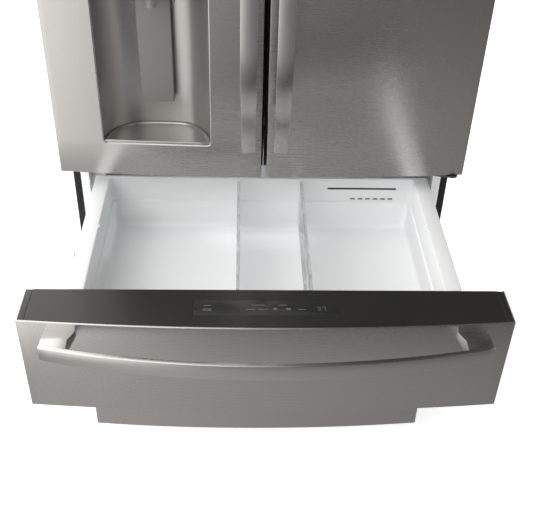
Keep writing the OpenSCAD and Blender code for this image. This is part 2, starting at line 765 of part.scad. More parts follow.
cabinet_shell();
back_panel();
foam_insulation();
fresh_food_liner();
drawer_liner();
freezer_liner();
base_frame();
base_grille();
levelling_legs();
machine_cover();
compressor();
condenser();
water_valve();
evaporator();
evaporator_cover();
air_tower();
glass_shelves();
water_filter();
door_hinges();
hinge_covers();
case_rails();
rear_rollers();
condenser_fan();
evaporator_fan();
crisper_left();
crisper_right();
left_door_skin();
left_door_liner();
left_door_seal();
left_door_handle();
dispenser_housing();
dispenser_tray();
dispenser_paddle();
dispenser_display();
ice_compartment();
left_door_bins();
door_mullion();
right_door_skin();
right_door_liner();
right_door_seal();
right_door_handle();
right_door_bins();
drawer_skin();
drawer_top_panel();
drawer_inner_panel();
drawer_seal();
drawer_handle();
drawer_pan();
divider_left();
divider_right();
drawer_rails_middle();
drawer_rails_moving();
freezer_skin();
freezer_inner_panel();
freezer_seal();
freezer_handle();
freezer_bin();
freezer_upper_basket();
freezer_rails_middle();
freezer_rails_moving();
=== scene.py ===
import json
import math

import bmesh
import bpy
from mathutils import Matrix, Vector


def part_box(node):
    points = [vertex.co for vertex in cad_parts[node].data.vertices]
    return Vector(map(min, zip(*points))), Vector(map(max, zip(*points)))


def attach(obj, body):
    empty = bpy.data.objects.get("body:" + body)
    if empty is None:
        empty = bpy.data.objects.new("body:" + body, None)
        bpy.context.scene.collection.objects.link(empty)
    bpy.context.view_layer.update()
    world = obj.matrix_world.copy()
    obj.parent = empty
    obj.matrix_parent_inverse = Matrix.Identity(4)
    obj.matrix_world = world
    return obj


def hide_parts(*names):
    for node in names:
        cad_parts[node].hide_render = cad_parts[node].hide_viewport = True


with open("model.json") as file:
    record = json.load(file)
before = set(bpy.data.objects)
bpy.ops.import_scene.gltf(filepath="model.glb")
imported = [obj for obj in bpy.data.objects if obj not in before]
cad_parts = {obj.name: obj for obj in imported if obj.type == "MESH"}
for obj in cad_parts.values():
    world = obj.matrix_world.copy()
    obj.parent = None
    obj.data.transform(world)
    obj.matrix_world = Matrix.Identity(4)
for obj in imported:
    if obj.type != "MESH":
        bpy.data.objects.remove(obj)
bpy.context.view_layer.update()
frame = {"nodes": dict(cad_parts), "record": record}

NODES = frame["nodes"]
SLOTS = {part["node"]: part["material_slot"] for part in frame["record"]["subparts"]}
MATERIALS = {}
MM = 0.001
# Metres within which points are one, edges are too short to keep, and a CAD mesh's points are one
MERGE = 0.000005
SLIVER = 0.000002
WELD = 0.00002


# -------------------- places taken from the frame, in mm

def box_mm(node):
    """Lowest and highest corner of a CAD node, in millimetres."""
    low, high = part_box(node)
    return [c / MM for c in low], [c / MM for c in high]


DOOR_L, _ = box_mm("right_door_skin")
DRAWER_L, DRAWER_H = box_mm("drawer_skin")
# Half the fronts' width, how far their middle stands ahead of their sides, and the radius of that bow
HALF = DRAWER_H[0]
BOW = 20.0
BOW_R = (HALF ** 2 + BOW ** 2) / (2 * BOW)
# From the doors' foremost point back to the case's front, and the thickness of folded steel
NOSE_TO_CASE = 122.0
SHEET = 1.2
DOOR_NOSE = DRAWER_L[1] - box_mm("drawer_handle")[0][1] + box_mm("freezer_handle")[0][1]
DRAWER_NOSE = DRAWER_L[1]
CASE_Y = DOOR_NOSE + NOSE_TO_CASE


def bow_y(x, nose):
    """Front surface of the bowed fronts at x."""
    return nose + BOW_R - math.sqrt(BOW_R ** 2 - x ** 2)


# -------------------- mesh tools

class Shape:
    """Collects points and faces, in mm, for one piece."""

    def __init__(self):
        self.verts = []
        self.faces = []

    def loft(self, rings, closed=True, caps=True, looped=False):
        """Joins rings of equal length in order; looped joins the last to the first."""
        start = len(self.verts)
        count = len(rings[0])
        for ring in rings:
            self.verts += [tuple(p) for p in ring]
        spans = len(rings) if looped else len(rings) - 1
        for i in range(spans):
            a = start + i * count
            b = start + ((i + 1) % len(rings)) * count
            for j in range(count if closed else count - 1):
                k = (j + 1) % count
                self.faces.append((a + j, a + k, b + k, b + j))
        if caps and not looped:
            last = start + (len(rings) - 1) * count
            self.faces.append(tuple(range(start + count - 1, start - 1, -1)))
            self.faces.append(tuple(range(last, last + count)))
        return self

    def stack(self, levels, n=4, looped=False):
        """Round-cornered rectangles (x0, x1, y0, y1, r, z), joined in order."""
        rings = []
        for x0, x1, y0, y1, r, z in levels:
            rings.append([(x, y, z) for x, y in round_rect(x0, x1, y0, y1, r, n)])
        return self.loft(rings, looped=looped)

    def box(self, a, b, r, corner=None):
        """Box from a to b with edges rounded by r and upright corners rounded by corner."""
        corner = r if corner is None else corner
        levels = []
        for z, steps in ((a[2], (0, 30, 60, 90)), (b[2], (90, 60, 30, 0))):
            for angle in steps:
                t = math.radians(angle)
                i = r * (1 - math.sin(t))
                lift = r * (1 - math.cos(t))
                level = z + lift if z == a[2] else z - lift
                levels.append((a[0] + i, b[0] - i, a[1] + i, b[1] - i, max(corner - i, 0.05), level))
        return self.stack(levels)

    def lathe(self, profile, centre, axis="z", n=32):
        """Profile of (radius, height) turned about an axis through centre."""
        rings = []
        for radius, height in profile:
            ring = []
            for k in range(n):
                t = 2 * math.pi * k / n
                u, v = radius * math.cos(t), radius * math.sin(t)
                p = {"z": (u, v, height), "y": (u, height, v), "x": (height, u, v)}[axis]
                ring.append(tuple(c + q for c, q in zip(centre, p)))
            rings.append(ring)
        return self.loft(rings)


def round_rect(x0, x1, y0, y1, r, n=4):
    """Outline of a rectangle with n steps round each corner."""
    least = 0.01
    r = max(min(r, (x1 - x0) / 2 - least, (y1 - y0) / 2 - least), least)
    points = []
    corners = ((x1 - r, y1 - r, 0), (x0 + r, y1 - r, 90), (x0 + r, y0 + r, 180), (x1 - r, y0 + r, 270))
    for cx, cy, start in corners:
        for k in range(n + 1):
            t = math.radians(start + 90 * k / n)
            points.append((cx + r * math.cos(t), cy + r * math.sin(t)))
    return points


def piece(name, shape, body, slot, stands_for=(),
          look=None, out=None, solid=0.0, bevel=0.0, sharp=40, split=0):
    """Makes the object, puts it on its body, gives it its slot's material and hides the nodes it stands for.

    Its material is the slot's unless look names another. out is the side that an open sheet faces.
    """
    mesh = bpy.data.meshes.new(name)
    mesh.from_pydata([tuple(c * MM for c in v) for v in shape.verts], [], shape.faces)
    bm = bmesh.new()
    bm.from_mesh(mesh)
    bmesh.ops.remove_doubles(bm, verts=bm.verts, dist=MERGE)
    bmesh.ops.dissolve_degenerate(bm, dist=SLIVER, edges=bm.edges)
    bmesh.ops.recalc_face_normals(bm, faces=bm.faces)
    if out is not None:
        bm.normal_update()
        total = Vector((0, 0, 0))
        for face in bm.faces:
            total += face.normal * face.calc_area()
        if total.dot(Vector(out)) < 0:
            bmesh.ops.reverse_faces(bm, faces=bm.faces)
    for edge in bm.edges:
        if len(edge.link_faces) == 2 and edge.calc_face_angle(0) > math.radians(sharp):
            edge.smooth = False
    for face in bm.faces:
        face.smooth = True
    bm.to_mesh(mesh)
    bm.free()
    made = bpy.data.objects.new(name, mesh)
    bpy.context.collection.objects.link(made)
    made.data.materials.append(MATERIALS[look or slot])
    if solid:
        sheet = made.modifiers.new("sheet", "SOLIDIFY")
        sheet.thickness = solid * MM
        sheet.offset = -1
    if bevel:
        add_bevel(made, bevel)
    if split:
        folds = made.modifiers.new("folds", "EDGE_SPLIT")
        folds.split_angle = math.radians(split)
    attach(made, body)
    if stands_for:
        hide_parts(*stands_for)
    return made


def add_bevel(target, width):
    """Rounds the target's edges; a wide bevel is held back where edges crowd."""
    bevel = target.modifiers.new("bevel", "BEVEL")
    bevel.width = width * MM
    bevel.segments = 2
    bevel.limit_method = "ANGLE"
    bevel.angle_limit = math.radians(35)
    bevel.harden_normals = True
    bevel.use_clamp_overlap = width > 0.3


# -------------------- camera

# Metres from the middle of the doors' lower edge; degrees of pitch, yaw and roll; millimetres
CAMERA_PLACE = (-0.0495, -1.6538, 1.0260)
CAMERA_TURN = (37.788, 2.508, 1.876)
CAMERA_LENS = 56.92


def make_camera():
    """The photograph's viewpoint."""
    x, y, z = CAMERA_PLACE
    place = Vector((x, (DOOR_NOSE + BOW) * MM + y, DOOR_L[2] * MM + z))
    pitch, yaw, roll = (math.radians(angle) for angle in CAMERA_TURN)
    forward = Vector((math.sin(yaw), math.cos(yaw), 0))
    right = Vector((math.cos(yaw), -math.sin(yaw), 0))
    up = Vector((0, 0, 1))
    view = math.cos(pitch) * forward - math.sin(pitch) * up
    head = math.sin(pitch) * forward + math.cos(pitch) * up
    side = math.cos(roll) * right + math.sin(roll) * head
    head = -math.sin(roll) * right + math.cos(roll) * head
    data = bpy.data.cameras.new("camera")
    data.lens = CAMERA_LENS
    data.sensor_width = 36.0
    data.clip_start = 0.05
    data.clip_end = 60.0
    camera = bpy.data.objects.new("camera", data)
    camera.matrix_world = Matrix((
        (side.x, head.x, -view.x, place.x),
        (side.y, head.y, -view.y, place.y),
        (side.z, head.z, -view.z, place.z),
        (0, 0, 0, 1),
    ))
    bpy.context.collection.objects.link(camera)
    bpy.context.scene.camera = camera


# -------------------- studio

# Name, place, what it faces, size and power
LIGHTS = (
    ("key_light", (-2.6, -2.0, 3.6), (0, -0.4, 0.9), (1.6, 1.6), 34),
    ("fill_light", (2.8, -2.6, 3.0), (0, -0.3, 0.9), (2.2, 2.2), 8),
    ("top_light", (0.0, -0.7, 4.2), (0, -0.5, 0.6), (3.0, 2.4), 12),
    ("back_light", (0.4, 3.4, 3.0), (0, 0.5, 0.9), (3.4, 2.0), 14),
)
FLOOR_HALF = 14
DOME_RADIUS = 13.5
# Brightness of the surroundings from left to right: a little downwards, steeply down and upwards
FAR = ((0.0, 0.9), (1.0, 0.25), (0.2, 1.3), (0.28, 1.7), (0.34, 1.2), (0.40, 0.55), (0.46, 0.26),
       (0.54, 0.19), (0.66, 0.15), (0.8, 0.14))
NEAR = ((0.0, 0.3), (1.0, 0.25), (0.25, 0.40), (0.35, 0.52), (0.42, 0.48), (0.55, 0.38), (0.75, 0.27))
ABOVE = ((0.0, 2.3), (1.0, 0.8), (0.42, 1.8), (0.5, 0.7), (0.55, 0.1), (0.7, 0.04), (0.85, 0.5))
# Heights of a direction over which one gives way to the next
NEAR_TO_FAR = (-0.64, -0.45)
FAR_TO_ABOVE = (-0.05, 0.25)


def area_light(name, place, target, size, power):
    """A rectangular light that the steel doesn't mirror."""
    data = bpy.data.lights.new(name, "AREA")
    data.shape = "RECTANGLE"
    data.size, data.size_y = size
    data.energy = power
    light = bpy.data.objects.new(name, data)
    light.location = place
    light.visible_glossy = False
    light.rotation_euler = (Vector(target) - Vector(place)).to_track_quat("-Z", "Y").to_euler()
    bpy.context.collection.objects.link(light)


def make_studio():
    """A white floor and wide soft lights, the strongest on the left."""
    bpy.context.scene.view_settings.view_transform = "Standard"
    floor_mesh = bpy.data.meshes.new("floor")
    edge = FLOOR_HALF
    corners = [(-edge, -edge, 0), (edge, -edge, 0), (edge, edge, 0), (-edge, edge, 0)]
    floor_mesh.from_pydata(corners, [], [(0, 1, 2, 3)])
    floor = bpy.data.objects.new("floor", floor_mesh)
    bpy.context.collection.objects.link(floor)
    floor.visible_glossy = False
    shader = new_material("studio_floor")[2]
    shader.inputs["Base Color"].default_value = (0.8, 0.8, 0.8, 1)
    shader.inputs["Roughness"].default_value = 0.95
    shader.inputs["Specular IOR Level"].default_value = 0.0
    shader.inputs["Emission Color"].default_value = (1, 1, 1, 1)
    shader.inputs["Emission Strength"].default_value = 0.62
    floor.data.materials.append(MATERIALS["studio_floor"])
    make_backdrop()
    for light in LIGHTS:
        area_light(*light)
    make_world()


def make_backdrop():
    """A plain white surround, seen only directly, so that every view has the same background."""
    steps, rows = 24, 6
    verts = [(0, 0, DOME_RADIUS)]
    faces = []
    for row in range(1, rows + 1):
        tilt = math.radians(90 * row / rows)
        for k in range(steps):
            turn = 2 * math.pi * k / steps
            flat = DOME_RADIUS * math.sin(tilt)
            verts.append((flat * math.cos(turn), flat * math.sin(turn), DOME_RADIUS * math.cos(tilt)))
    for k in range(steps):
        faces.append((0, 1 + k, 1 + (k + 1) % steps))
        for row in range(rows - 1):
            a, b = 1 + row * steps + k, 1 + row * steps + (k + 1) % steps
            faces.append((a, a + steps, b + steps, b))
    mesh = bpy.data.meshes.new("backdrop")
    mesh.from_pydata(verts, [], faces)
    dome = bpy.data.objects.new("backdrop", mesh)
    bpy.context.collection.objects.link(dome)
    dome.visible_glossy = False
    dome.visible_diffuse = False
    dome.visible_shadow = False
    shader = new_material("backdrop_white")[2]
    shader.inputs["Base Color"].default_value = (0, 0, 0, 1)
    shader.inputs["Specular IOR Level"].default_value = 0.0
    shader.inputs["Emission Color"].default_value = (1, 1, 1, 1)
    shader.inputs["Emission Strength"].default_value = 0.98
    dome.data.materials.append(MATERIALS["backdrop_white"])


def world_ramp(nodes, links, source, stops):
    """A slightly warm grey ramp with the given stops."""
    ramp = nodes.new("ShaderNodeValToRGB")
    elements = ramp.color_ramp.elements
    for index, (position, value) in enumerate(stops):
        stop = elements[index] if index < 2 else elements.new(position)
        stop.position = position
        stop.color = (value, value * 0.985, value * 0.965, 1)
    links.new(source, ramp.inputs["Fac"])
    return ramp.outputs["Color"]


def make_world():
    """Soft surroundings for the steel to reflect: bright overhead, darker low down and to the right."""
    world = bpy.data.worlds.new("studio")
    bpy.context.scene.world = world
    world.use_nodes = True
    nodes, links = world.node_tree.nodes, world.node_tree.links
    nodes.clear()
    output = nodes.new("ShaderNodeOutputWorld")
    background = nodes.new("ShaderNodeBackground")
    place = nodes.new("ShaderNodeTexCoord")
    split = nodes.new("ShaderNodeSeparateXYZ")
    links.new(place.outputs["Generated"], split.inputs[0])
    across = span(nodes, links, split.outputs["X"], -1, 1, 0, 1)
    far = world_ramp(nodes, links, across, FAR)
    near = world_ramp(nodes, links, across, NEAR)
    above = world_ramp(nodes, links, across, ABOVE)
    low = mix_colour(nodes, links, span(nodes, links, split.outputs["Z"], *NEAR_TO_FAR, 0, 1), near, far)
    high = mix_colour(nodes, links, span(nodes, links, split.outputs["Z"], *FAR_TO_ABOVE, 0, 1), low, above)
    links.new(high, background.inputs["Color"])
    background.inputs["Strength"].default_value = 1.0
    links.new(background.outputs[0], output.inputs["Surface"])


# -------------------- material tools

def new_material(name):
    """Makes a material and gives its nodes, its links and its shader."""
    material = bpy.data.materials.new(name)
    MATERIALS[name] = material
    material.use_nodes = True
    nodes, links = material.node_tree.nodes, material.node_tree.links
    return nodes, links, nodes["Principled BSDF"]


def noise(nodes, links, scale, stretch=(1, 1, 1), detail=4.0, rough=0.5):
    """Noise in the object's own coordinates, stretched by the given factors."""
    place = nodes.new("ShaderNodeTexCoord")
    mapping = nodes.new("ShaderNodeMapping")
    mapping.inputs["Scale"].default_value = stretch
    texture = nodes.new("ShaderNodeTexNoise")
    texture.inputs["Scale"].default_value = scale
    texture.inputs["Detail"].default_value = detail
    texture.inputs["Roughness"].default_value = rough
    links.new(place.outputs["Object"], mapping.inputs["Vector"])
    links.new(mapping.outputs["Vector"], texture.inputs["Vector"])
    return texture.outputs["Fac"]


def span(nodes, links, value, from_low, from_high, low, high):
    """Maps a range of the value onto low..high, and holds the ends."""
    mapped = nodes.new("ShaderNodeMapRange")
    mapped.inputs["From Min"].default_value = from_low
    mapped.inputs["From Max"].default_value = from_high
    mapped.inputs["To Min"].default_value = low
    mapped.inputs["To Max"].default_value = high
    links.new(value, mapped.inputs["Value"])
    return mapped.outputs["Result"]


def mix_colour(nodes, links, factor, a, b):
    """Colour a where the factor is 0 and colour b where it is 1; each is a tuple or an output."""
    mix = nodes.new("ShaderNodeMix")
    mix.data_type = "RGBA"
    for socket, colour in ((mix.inputs[6], a), (mix.inputs[7], b)):
        if isinstance(colour, tuple):
            socket.default_value = (*colour, 1)
        else:
            links.new(colour, socket)
    links.new(factor, mix.inputs[0])
    return mix.outputs[2]


def add_math(nodes, links, a, b, weight):
    """a + weight * b"""
    node = nodes.new("ShaderNodeMath")
    node.operation = "MULTIPLY_ADD"
    links.new(b, node.inputs[0])
    node.inputs[1].default_value = weight
    links.new(a, node.inputs[2])
    return node.outputs[0]


def bump(nodes, links, height, strength, distance):
    """Normal of a surface raised by the height."""
    node = nodes.new("ShaderNodeBump")
    node.inputs["Strength"].default_value = strength
    node.inputs["Distance"].default_value = distance
    links.new(height, node.inputs["Height"])
    return node.outputs["Normal"]


def edge_mask(nodes, links):
    """Near 1 along sharp edges, where a finish wears first."""
    bevel = nodes.new("ShaderNodeBevel")
    bevel.samples = 4
    bevel.inputs["Radius"].default_value = 0.003
    geometry = nodes.new("ShaderNodeNewGeometry")
    dot = nodes.new("ShaderNodeVectorMath")
    dot.operation = "DOT_PRODUCT"
    links.new(bevel.outputs["Normal"], dot.inputs[0])
    links.new(geometry.outputs["Normal"], dot.inputs[1])
    return span(nodes, links, dot.outputs["Value"], 0.80, 0.99, 1.0, 0.0)


# -------------------- materials

# The range that most of a noise's values lie in
NOISE = (0.3, 0.7)


def brushed_steel(name, tone, grain, roughness, turn):
    """Stainless steel with its grain along one axis."""
    nodes, links, shader = new_material(name)
    fine = noise(nodes, links, 5.0, grain, 5.0, 0.6)
    cloud = noise(nodes, links, 1.6, (1, 1, 1), 2.0)
    dark = tuple(c * 0.985 for c in tone)
    light = tuple(min(1.0, c * 1.012) for c in tone)
    links.new(mix_colour(nodes, links, span(nodes, links, fine, *NOISE, 0, 1), dark, light),
              shader.inputs["Base Color"])
    smudged = add_math(nodes, links, fine, cloud, 0.7)
    links.new(span(nodes, links, smudged, 0.55, 1.15, *roughness), shader.inputs["Roughness"])
    links.new(bump(nodes, links, fine, 0.004, 0.00002), shader.inputs["Normal"])
    shader.inputs["Metallic"].default_value = 1.0
    shader.inputs["Anisotropic"].default_value = 0.6
    shader.inputs["Anisotropic Rotation"].default_value = turn
    tangent = nodes.new("ShaderNodeTangent")
    tangent.direction_type = "RADIAL"
    tangent.axis = "Z"
    links.new(tangent.outputs[0], shader.inputs["Tangent"])


def plastic(name, colour, roughness, grain=900.0, depth=0.00006,
            coat=0.0, spread=0.04, wear=None, metal=0.0, shine=0.5):
    """Moulded plastic: fine texture, slight colour drift and, if asked, paler worn edges."""
    nodes, links, shader = new_material(name)
    drift = noise(nodes, links, 3.0, (1, 1, 1), 3.0)
    texture = noise(nodes, links, grain, (1, 1, 1), 2.0)
    dark = tuple(c * (1 - spread) for c in colour)
    light = tuple(min(1.0, c * (1 + spread)) for c in colour)
    tone = mix_colour(nodes, links, span(nodes, links, drift, *NOISE, 0, 1), dark, light)
    if wear:
        tone = mix_colour(nodes, links, edge_mask(nodes, links), tone, wear)
    links.new(tone, shader.inputs["Base Color"])
    matt = add_math(nodes, links, texture, drift, 0.8)
    links.new(span(nodes, links, matt, 0.6, 1.2, *roughness), shader.inputs["Roughness"])
    links.new(bump(nodes, links, texture, 0.2, depth), shader.inputs["Normal"])
    shader.inputs["Metallic"].default_value = metal
    shader.inputs["Specular IOR Level"].default_value = shine
    shader.inputs["Coat Weight"].default_value = coat
    shader.inputs["Coat Roughness"].default_value = 0.1


def plated(name, tone=(0.62, 0.63, 0.64), cell=130.0):
    """Zinc-plated pressed steel with a mottled spangle."""
    nodes, links, shader = new_material(name)
    place = nodes.new("ShaderNodeTexCoord")
    cells = nodes.new("ShaderNodeTexVoronoi")
    cells.inputs["Scale"].default_value = cell
    links.new(place.outputs["Object"], cells.inputs["Vector"])
    mottle = noise(nodes, links, 60.0, (1, 1, 1), 4.0)
    dark = tuple(c * 0.8 for c in tone)
    links.new(mix_colour(nodes, links, cells.outputs["Distance"], tone, dark), shader.inputs["Base Color"])
    links.new(span(nodes, links, mottle, *NOISE, 0.28, 0.46), shader.inputs["Roughness"])
    links.new(bump(nodes, links, mottle, 0.15, 0.0002), shader.inputs["Normal"])
    shader.inputs["Metallic"].default_value = 1.0


def clear_plastic(name, tint, roughness):
    """Clear moulded plastic or glass, thin enough to let light through."""
    nodes, links, shader = new_material(name)
    smear = noise(nodes, links, 14.0, (1, 1, 1), 4.0)
    shader.inputs["Base Color"].default_value = (*tint, 1)
    links.new(span(nodes, links, smear, *NOISE, *roughness), shader.inputs["Roughness"])
    links.new(bump(nodes, links, smear, 0.05, 0.0003), shader.inputs["Normal"])
    shader.inputs["Transmission Weight"].default_value = 0.94
    shader.inputs["IOR"].default_value = 1.46
    shader.inputs["Alpha"].default_value = 0.4


def glowing(name, colour, strength):
    """A lamp's cover: pale plastic that glows."""
    plastic(name, colour, (0.4, 0.5), 500.0, 0.00002)
    shader = MATERIALS[name].node_tree.nodes["Principled BSDF"]
    shader.inputs["Emission Color"].default_value = (*colour, 1)
    shader.inputs["Emission Strength"].default_value = strength


def make_materials():
    """The materials of the CAD's slots, then those of single pieces."""
    steel = (0.57, 0.555, 0.54)
    plastic("case_paint", (0.014, 0.014, 0.015), (0.36, 0.5), 420.0, 0.0001,
            spread=0.06, wear=(0.035, 0.035, 0.035), shine=0.35)
    plated("rear_steel", (0.55, 0.56, 0.57))
    plastic("foam", (0.78, 0.68, 0.42), (0.8, 0.9), 260.0, 0.0006, spread=0.1)
    plastic("liner_plastic", (0.84, 0.85, 0.86), (0.28, 0.4), 700.0, 0.00004, coat=0.15, spread=0.012)
    brushed_steel("stainless", steel, (2.0, 260, 260), (0.25, 0.31), 0.25)
    plastic("black_plastic", (0.018, 0.018, 0.02), (0.42, 0.55), wear=(0.04, 0.04, 0.04))
    plastic("charcoal_panel", (0.017, 0.016, 0.015), (0.28, 0.34), 1100.0, 0.00003, coat=0.1)
    plastic("grey_plastic", (0.46, 0.447, 0.433), (0.26, 0.34), 800.0, 0.00005,
            coat=0.1, spread=0.03, metal=0.8)
    plastic("dark_grey_plastic", (0.24, 0.232, 0.222), (0.34, 0.44), metal=0.2)
    plastic("display_glass", (0.012, 0.012, 0.013), (0.05, 0.1), 30.0, 0.00001, coat=0.5)
    clear_plastic("clear_plastic", (0.94, 0.97, 0.99), (0.02, 0.07))
    clear_plastic("shelf_glass", (0.88, 0.97, 0.95), (0.01, 0.04))
    plastic("seal_black", (0.010, 0.010, 0.011), (0.55, 0.7), 1500.0, 0.0001, spread=0.1)
    plastic("seal_grey", (0.50, 0.51, 0.52), (0.55, 0.7), 1500.0, 0.0001, spread=0.06)
    plated("zinc")
    plastic("black_steel", (0.02, 0.02, 0.022), (0.32, 0.46), 420.0, 0.0001,
            coat=0.1, spread=0.06, wear=(0.12, 0.12, 0.12))
    plastic("compressor_black", (0.012, 0.012, 0.013), (0.3, 0.45), 260.0, 0.0002, coat=0.2)
    plated("fin_aluminium", (0.72, 0.73, 0.74), 60.0)
    plastic("fan_white", (0.74, 0.75, 0.76), (0.35, 0.5))
    plastic("valve_blue", (0.03, 0.09, 0.28), (0.35, 0.5), wear=(0.10, 0.18, 0.36))
    # The upright handles' steel is toned lighter than the fronts' stainless so that they read brighter: a
    # painted highlight
    brushed_steel("handle_upright_painted_highlight", (0.68, 0.665, 0.65), (260, 260, 2.0), (0.22, 0.28), 0.0)
    brushed_steel("handle_across", (0.60, 0.585, 0.57), (2.0, 260, 260), (0.18, 0.26), 0.25)
    plastic("mark", (0.15, 0.15, 0.147), (0.4, 0.5), 500.0, 0.00002)
    plastic("window", (0.022, 0.022, 0.022), (0.2, 0.26), 300.0, 0.00001, coat=0.1)
    glowing("lamp", (0.95, 0.97, 1.0), 7.0)


# -------------------- carried-over CAD nodes

PLAIN_BEVEL = 0.5
BEVELS = {
    "left_door_liner": 2.5, "right_door_liner": 2.5, "drawer_inner_panel": 2.5, "freezer_inner_panel": 2.5,
    "fresh_food_liner": 1.5, "drawer_liner": 1.5, "freezer_liner": 1.5, "ice_compartment": 2.0,
    "air_tower": 3.0, "hinge_covers": 1.4, "water_filter": 1.2, "glass_shelves": 0.8, "freezer_bin": 0.8,
    "freezer_upper_basket": 0.8, "evaporator_cover": 0.8, "door_hinges": 0.6,
}


def dress_nodes():
    """Gives every carried-over node its material, rounded edges and smooth shading."""
    for name, node in NODES.items():
        node.data.materials.clear()
        node.data.materials.append(MATERIALS[SLOTS[name]])
        for face in node.data.polygons:
            face.use_smooth = True
            face.material_index = 0
        if node.hide_render:
            continue
        weld = node.modifiers.new("weld", "WELD")
        weld.merge_threshold = WELD
        add_bevel(node, BEVELS.get(name, PLAIN_BEVEL))


# -------------------- steel fronts

# Bend radius at the sides, and how deep the sheet folds back under the front
SIDE_BEND = 2.2
FOOT_FOLD = 12.0
# Height of the lips turned in at foot and top, and how far the upper one lies behind its bend
LIP = 5.0
LIP_DEPTH = 1.2
# Columns across a face, and how close two may stand
FACE_STEPS = 48
LEAST_COLUMN = 1.5


def sheet_front(name, node, body, nose, holes=(), top_bend=1.5):
    """A bowed front skin: one folded sheet with side returns, bent edges and any openings.

    A hole is its left, right, lowest and highest edge and its corner radius, from the lowest hole up.
    """
    (x0, _, z0), (x1, rear, z1) = box_mm(node)
    corner = SIDE_BEND
    columns = [(x0, rear), (x0, (rear + nose) / 2)]
    left = (x0 + corner, bow_y(x0 + corner, nose) + corner)
    columns += [(left[0] - corner * math.cos(t), left[1] - corner * math.sin(t))
                for t in (math.radians(a) for a in (0, 22.5, 45, 67.5))]
    marks = {x0 + corner, x1 - corner}
    for a, b, _, _, r in holes:
        for t in (0, 25, 45, 60, 75, 90):
            marks |= {a + r * (1 - math.cos(math.radians(t))), b - r * (1 - math.cos(math.radians(t)))}
    for k in range(1, FACE_STEPS):
        x = x0 + corner + (x1 - x0 - 2 * corner) * k / FACE_STEPS
        if min(abs(x - m) for m in marks) > LEAST_COLUMN:
            marks.add(x)
    columns += [(x, bow_y(x, nose)) for x in sorted(marks)]
    right = (x1 - corner, bow_y(x1 - corner, nose) + corner)
    columns += [(right[0] + corner * math.sin(t), right[1] - corner * math.cos(t))
                for t in (math.radians(a) for a in (22.5, 45, 67.5, 90))]
    columns += [(x1, (rear + nose) / 2), (x1, rear)]

    def inset(x, y, i):
        """The point moved in by i from the sides and back by i from the bowed face."""
        nx = min(max(x, x0 + i), x1 - i)
        return nx, max(y, bow_y(nx, nose) + i)

    shape = Shape()
    grid = []
    for x, y in columns:
        rows = [(z0 + LIP, FOOT_FOLD), (z0, FOOT_FOLD), (z0, 1.5), (z0 + 0.45, 0.45), (z0 + 1.5, 0)]
        first = len(rows)
        for a, b, low, high, r in holes:
            d = min(x - a, b - x)
            lift = r if d <= 0 else 0 if d >= r else r - math.sqrt(r ** 2 - (r - d) ** 2)
            rows += [(low + lift, 0), (high - lift, 0)]
        for t in (0, 30, 60, 90):
            t = math.radians(t)
            rows.append((z1 - top_bend * (1 - math.sin(t)), top_bend * (1 - math.cos(t))))
        rows += [(z1, top_bend + LIP_DEPTH), (z1 - LIP, top_bend + LIP_DEPTH)]
        line = []
        for z, i in rows:
            px, py = inset(x, y, i)
            line.append(len(shape.verts))
            shape.verts.append((px, py, z))
        grid.append(line)
    for k in range(len(columns) - 1):
        middle = (columns[k][0] + columns[k + 1][0]) / 2
        for j in range(len(grid[0]) - 1):
            hole = (j - first + 1) // 2 if j >= first and (j - first) % 2 == 0 else -1
            if 0 <= hole < len(holes) and holes[hole][0] < middle < holes[hole][1]:
                continue
            shape.faces.append((grid[k][j], grid[k + 1][j], grid[k + 1][j + 1], grid[k][j + 1]))
    piece(name, shape, body, "stainless", (node,), out=(0, -1, 0), solid=SHEET, split=40, sharp=60)


# Corner radius of the dispenser's two openings
HOLE_CORNER = 10.0
# How far the recess stands in from its housing's box at the sides and top, and at the foot
RECESS_IN = 3.0
RECESS_UP = 0.5


def make_fronts():
    """The four steel fronts, the left one with the dispenser's two openings."""
    low, high = box_mm("dispenser_housing")
    recess = (low[0] + RECESS_IN, high[0] - RECESS_IN, low[2] + RECESS_UP, high[2] - RECESS_IN, HOLE_CORNER)
    low, high = box_mm("dispenser_display")
    display = (low[0], high[0], low[2], high[2], HOLE_CORNER)
    sheet_front("left_door_front", "left_door_skin", "left_door", DOOR_NOSE, (recess, display))
    sheet_front("right_door_front", "right_door_skin", "right_door", DOOR_NOSE)
    sheet_front("drawer_front", "drawer_skin", "middle_drawer", DRAWER_NOSE, top_bend=1.8)
    sheet_front("freezer_front", "freezer_skin", "freezer_drawer", DOOR_NOSE, top_bend=1.8)


# -------------------- strap handles

# Section and reach of a strap, the belly of its lower edge, and its roundings at end and edges
STRAP = {"thick": 9.0, "wide": 34.0, "reach": 63.0, "belly": 4.0, "end": 6.0, "edge": 1.2, "ease": 1.6}
# How far a drawer's strap bows out, and the doors' share of that
STRAP_BOW = 45.0
UPRIGHT_SHARE = 0.7
STRAP_STEPS = 56
# Sections of a foot: y from the front's side edges, start and stop in from the strap's end, top, bottom
FOOT = (
    (10.0, 1.6, 56.5, -10.0, -23.0), (-8.0, 1.2, 56.5, -9.4, -24.0), (-13.0, 0.6, 55.5, -8.6, -25.0),
    (-37.0, 0.5, 49.2, -2.6, -27.0), (-39.0, 0.5, 48.8, -2.3, -27.2), (-55.0, 0.5, 49.6, -1.2, -28.4),
    (-58.0, 0.5, 50.0, -1.0, -28.6),
)


